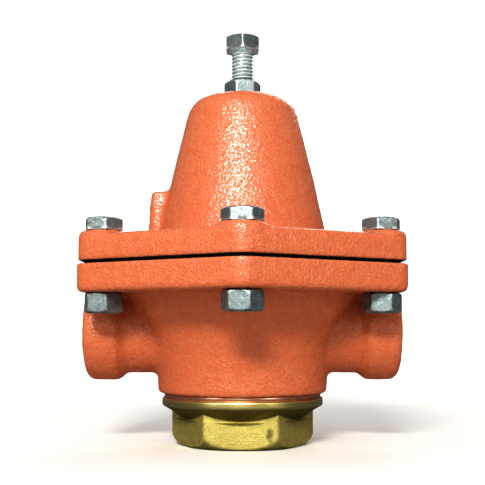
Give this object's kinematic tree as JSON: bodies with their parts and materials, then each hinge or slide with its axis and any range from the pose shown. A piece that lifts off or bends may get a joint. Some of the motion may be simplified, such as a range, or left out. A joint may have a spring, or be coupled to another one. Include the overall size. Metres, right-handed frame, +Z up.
{
  "type": "pressure reducing valve",
  "caption": "Cast pressure reducing valve with threaded side ports, bolted hexagonal diaphragm flange, conical spring bonnet with adjusting screw, and hexagonal brass bottom plug.",
  "frame": {"origin": "on the vertical axis of the bonnet and plug, at the flat foot of the bottom plug", "axes": "+Z up the adjusting screw, +X along the outlet port, away from the inlet"},
  "size_m": [0.1338, 0.1506, 0.1781],
  "materials": {
    "orange_paint": "glossy orange enamel over a sand-cast iron grain",
    "plug_brass": "matt cast brass flats with a bright turned collar",
    "inner_brass": "machined",
    "gasket_copper": "dull copper sheet",
    "zinc_steel": "mottled zinc plating",
    "plate_steel": "turned",
    "spring_steel": "oiled spring wire",
    "stainless": "turned",
    "rubber": "matt",
    "diaphragm_rubber": "fabric-reinforced rubber sheet"
  },
  "bodies": {
    "housing": {"valve_body": "orange_paint", "bonnet": "orange_paint", "bottom_plug": "plug_brass", "plug_gasket": "gasket_copper", "guide_bushing": "inner_brass", "seat_ring": "inner_brass", "diaphragm": "diaphragm_rubber", "main_spring": "spring_steel", "return_spring": "spring_steel", "flange_bolt_1": "zinc_steel", "flange_bolt_2": "zinc_steel", "flange_bolt_3": "zinc_steel", "flange_bolt_4": "zinc_steel", "flange_bolt_5": "zinc_steel", "flange_bolt_6": "zinc_steel", "flange_nut_1": "zinc_steel", "flange_nut_2": "zinc_steel", "flange_nut_3": "zinc_steel", "flange_nut_4": "zinc_steel", "flange_nut_5": "zinc_steel", "flange_nut_6": "zinc_steel"},
    "spring_button": {"spring_button": "plate_steel"},
    "adjusting_screw": {"adjusting_screw": "zinc_steel"},
    "lock_nut": {"lock_nut": "zinc_steel"},
    "disc_and_stem": {"stem": "stainless", "stem_nut": "stainless", "stem_washer": "stainless", "pressure_plate": "plate_steel", "under_plate": "plate_steel", "seat_disc": "rubber", "disc_washer": "stainless", "disc_holder": "inner_brass"}
  },
  "joints": [
    {"name": "screw_travel", "type": "slide", "parent": "housing", "child": "spring_button", "axis": [0, 0, 1], "range_m": [-0.01191, 0.00159], "deforming": ["main_spring"]},
    {"name": "screw_turn", "type": "hinge", "parent": "spring_button", "child": "adjusting_screw", "pos_m": [0, 0, 0.15], "axis": [0, 0, 1], "range_deg": [-2700, 360]},
    {"name": "lock_nut_turn", "type": "hinge", "parent": "housing", "child": "lock_nut", "pos_m": [0, 0, 0.15455], "axis": [0, 0, 1], "range_deg": [0, 90]},
    {"name": "diaphragm_travel", "type": "slide", "parent": "housing", "child": "disc_and_stem", "axis": [0, 0, 1], "range_m": [-0.0035, 0], "stiffness_N_per_m": 1000, "springref_m": 0.008, "deforming": ["return_spring", "diaphragm"]}
  ],
  "couplings": [
    {"joint": "screw_travel", "follows": "screw_turn", "m_per_rad": 0.00025266}
  ]
}
